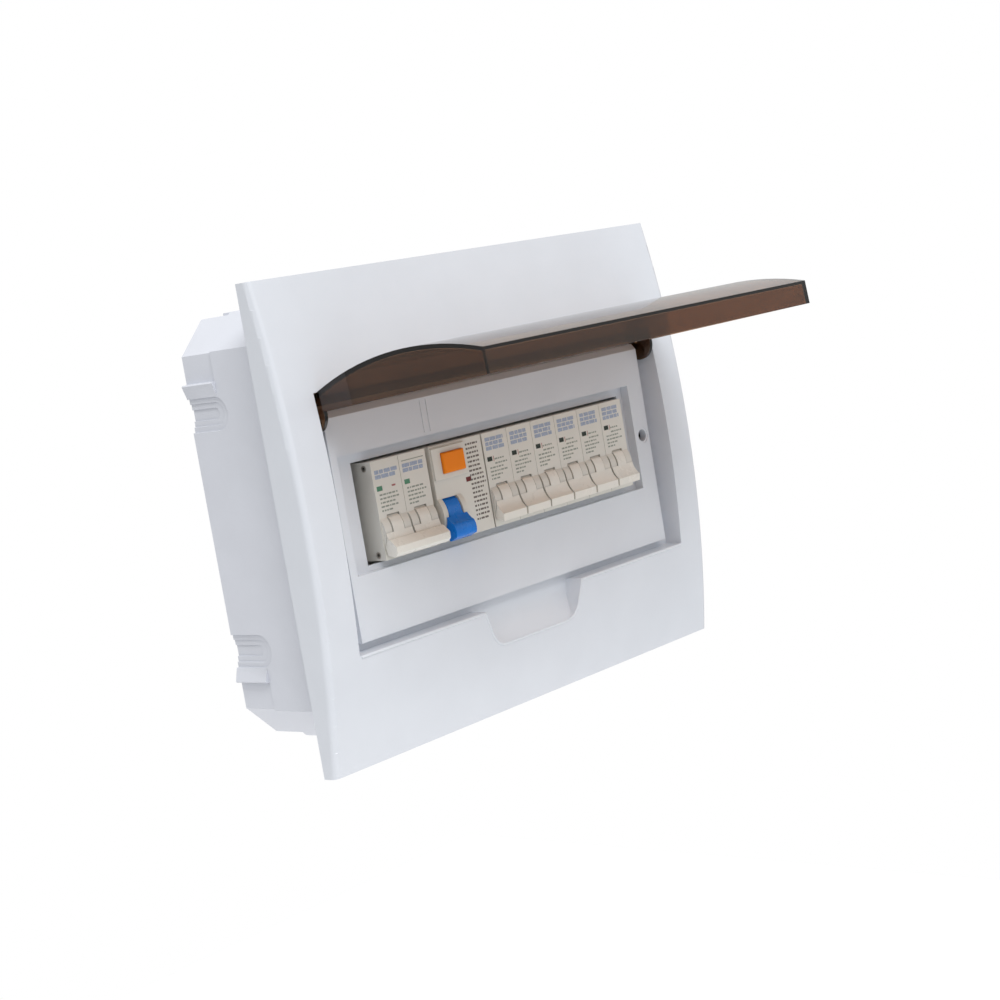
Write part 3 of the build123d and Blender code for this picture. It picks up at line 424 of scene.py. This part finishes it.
def scoop_path():
    """Half of the bead's line, from its far end to the middle of the scoop, in mm (x, z)."""
    slope = Vector((SCOOP_FOOT - SCOOP_HALF, SCOOP_BOTTOM - SCOOP_TOP)).normalized()
    corner = Vector((SCOOP_FOOT, SCOOP_BOTTOM))
    opening = math.acos(slope.dot(Vector((1, 0))))
    setback = SCOOP_CORNER / math.tan(opening / 2)
    start, finish = corner - slope * setback, corner + Vector((-setback, 0))
    points = [Vector((BEAD_END - BEAD_STEP * n, SCOOP_TOP)) for n in range(STRAIGHT_POINTS)]
    points += [Vector((SCOOP_HALF + MOUTH_CUT, SCOOP_TOP)), Vector((SCOOP_HALF, SCOOP_TOP - MOUTH_CUT))]
    for n in range(CORNER_STEPS + 1):
        t = n / CORNER_STEPS
        points.append(start.lerp(corner, t).lerp(corner.lerp(finish, t), t))
    return points + [Vector((finish.x * share, SCOOP_BOTTOM)) for share in FOOT_SHARES]


half_line = scoop_path()
line = [(p.x, p.y) for p in half_line] + [(-p.x, p.y) for p in reversed(half_line[:-1])]
bead_curve = bpy.data.curves.new("scoop_bead", "CURVE")
bead_curve.dimensions = "3D"
bead_curve.bevel_depth = BEAD_RADIUS
bead_curve.bevel_resolution = 3
bead_curve.use_fill_caps = True
spline = bead_curve.splines.new("POLY")
spline.points.add(len(line) - 1)
for point, (x, z) in zip(spline.points, line):
    point.co = (x * MM, -fascia_front(z * MM) + BEAD_SINK, z * MM, 1)
bead_curve.materials.append(LOOKS["fascia_plastic"])
bead = bpy.data.objects.new("scoop_bead", bead_curve)
scene.collection.objects.link(bead)
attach(bead, "board")


# ---------------------------------------------------------------- camera at the photographed angle
TURN, PITCH, ROLL = math.radians(47.5), math.radians(-6.28), math.radians(9.56)
CAMERA_PLACE = Vector((-0.70976, -0.71256, 0.09406))
LENS = 72.1
SENSOR = 36
forward = Vector((math.sin(TURN) * math.cos(PITCH), math.cos(TURN) * math.cos(PITCH), math.sin(PITCH)))
sideways = Vector((math.cos(TURN), -math.sin(TURN), 0))
upright = sideways.cross(forward)
across = sideways * math.cos(ROLL) - upright * math.sin(ROLL)
up = upright * math.cos(ROLL) + sideways * math.sin(ROLL)
camera = bpy.data.objects.new("camera", bpy.data.cameras.new("camera"))
scene.collection.objects.link(camera)
camera.data.lens = LENS
camera.data.sensor_width = SENSOR
stand = Matrix((across, up, -forward)).transposed().to_4x4()
stand.translation = CAMERA_PLACE
camera.matrix_world = stand
scene.camera = camera


# ---------------------------------------------------------------- floor and light
FLOOR_Z = -0.42
REACH = 0.6
FLOOR_TONES = ((0.93, 0.93, 0.93, 1), (0.95, 0.95, 0.95, 1))
floor_mesh = bpy.data.meshes.new("floor")
floor_mesh.from_pydata([(-REACH, -REACH, FLOOR_Z), (REACH, -REACH, FLOOR_Z), (REACH, REACH, FLOOR_Z),
                        (-REACH, REACH, FLOOR_Z)], [], [(0, 1, 2, 3)])
floor = bpy.data.objects.new("floor", floor_mesh)
scene.collection.objects.link(floor)
pale = Graph("floor_pale")
pale.drive(Base_Color=pale.mix(pale.spread(pale.noise(scale=3.0), over=(0.3, 0.7)), *FLOOR_TONES))
pale.shader.inputs["Roughness"].default_value = 0.9
floor_mesh.materials.append(pale.material)

LIGHT_ABOVE = 0.86          # light on the object from above and from below
LIGHT_BELOW = 0.40
LIGHT_TURNS = (-0.35, 0.45)     # directions' Z between which one goes over into the other
BACKDROP = 1.0              # white seen by the camera, and through the door
BACKDROP_THROUGH_DOOR = 1.5
KEY_POWER = 1.8
KEY_SPREAD = 34             # degrees
KEY_FROM = (-0.24, -0.60, 0.76)

world = bpy.data.worlds.new("studio")
world.use_nodes = True
scene.world = world
sky = world.node_tree
background = sky.nodes["Background"]
aim = sky.nodes.new("ShaderNodeTexCoord")
aim_parts = sky.nodes.new("ShaderNodeSeparateXYZ")
sky.links.new(aim.outputs["Generated"], aim_parts.inputs["Vector"])
overhead = sky.nodes.new("ShaderNodeMapRange")
for key, number in zip(("From Min", "From Max", "To Min", "To Max"),
                       (*LIGHT_TURNS, LIGHT_BELOW, LIGHT_ABOVE)):
    overhead.inputs[key].default_value = number
sky.links.new(aim_parts.outputs["Z"], overhead.inputs["Value"])
ways = sky.nodes.new("ShaderNodeLightPath")
glow = overhead.outputs["Result"]
for way, level in (("Is Transmission Ray", BACKDROP_THROUGH_DOOR), ("Is Camera Ray", BACKDROP)):
    choose = sky.nodes.new("ShaderNodeMix")
    unchanged, instead = choose.inputs[2], choose.inputs[3]
    instead.default_value = level
    sky.links.new(ways.outputs[way], choose.inputs["Factor"])
    sky.links.new(glow, unchanged)
    glow = choose.outputs[0]
sky.links.new(glow, background.inputs["Strength"])
background.inputs["Color"].default_value = (1, 1, 1, 1)

lamp = bpy.data.objects.new("key", bpy.data.lights.new("key", "SUN"))
lamp.data.energy = KEY_POWER
lamp.data.angle = math.radians(KEY_SPREAD)
lamp.rotation_mode = "QUATERNION"
lamp.rotation_quaternion = (-Vector(KEY_FROM)).to_track_quat("-Z", "Y")
scene.collection.objects.link(lamp)
